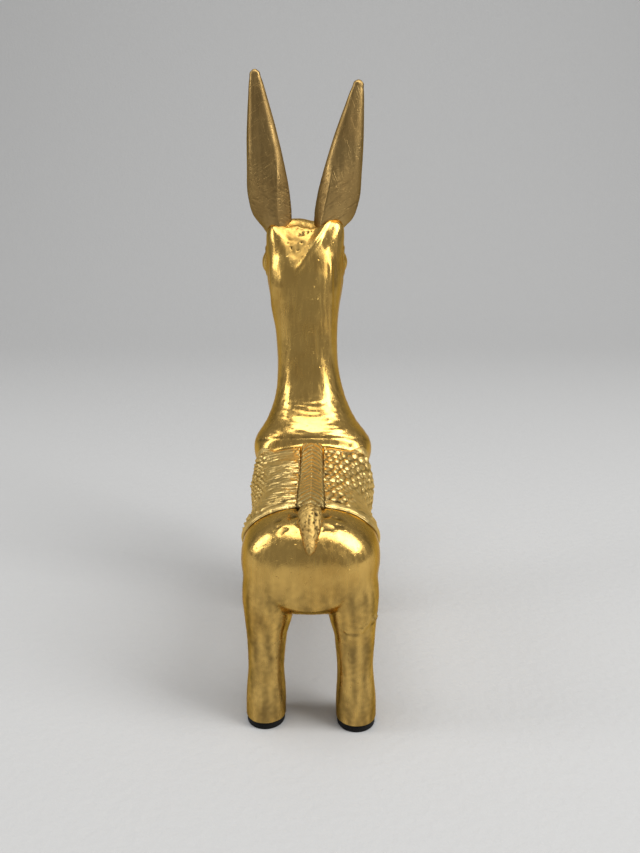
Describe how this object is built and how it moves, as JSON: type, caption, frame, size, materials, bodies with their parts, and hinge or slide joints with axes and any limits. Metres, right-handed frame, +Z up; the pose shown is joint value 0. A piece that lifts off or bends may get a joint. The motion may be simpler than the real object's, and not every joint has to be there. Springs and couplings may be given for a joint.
{
  "type": "donkey statuette",
  "caption": "Standing donkey figurine in polished cast brass with long upright ears, a chased saddle cloth, a herringbone spine band and felt foot pads.",
  "frame": {"origin": "on the floor, under the middle of the overall bounding box", "axes": "+Z up, +Y the way the donkey faces, +X to the donkey's right"},
  "size_m": [0.0492, 0.15, 0.2053],
  "materials": {
    "polished_brass": "hand polished cast brass, warm yellow, fine scratches",
    "satin_brass": "cast brass filed and left satin",
    "aged_brass": "cast brass filed by hand, dulled to a brown patina",
    "chased_brass": "cast brass chased with a punch, dark in the hollows",
    "felt": "black felt"
  },
  "bodies": {
    "root": {"fore_left_leg": "satin_brass", "fore_left_pad": "felt", "fore_right_leg": "satin_brass", "fore_right_pad": "felt", "hind_left_leg": "satin_brass", "hind_left_pad": "felt", "hind_right_leg": "satin_brass", "hind_right_pad": "felt", "left_ear": "aged_brass", "neck_and_head": "polished_brass", "right_ear": "aged_brass", "saddle_cloth_left": "chased_brass", "saddle_cloth_right": "chased_brass", "spine_band": "chased_brass", "tail": "chased_brass", "torso_left": "polished_brass", "torso_right": "polished_brass"}
  },
  "joints": []
}
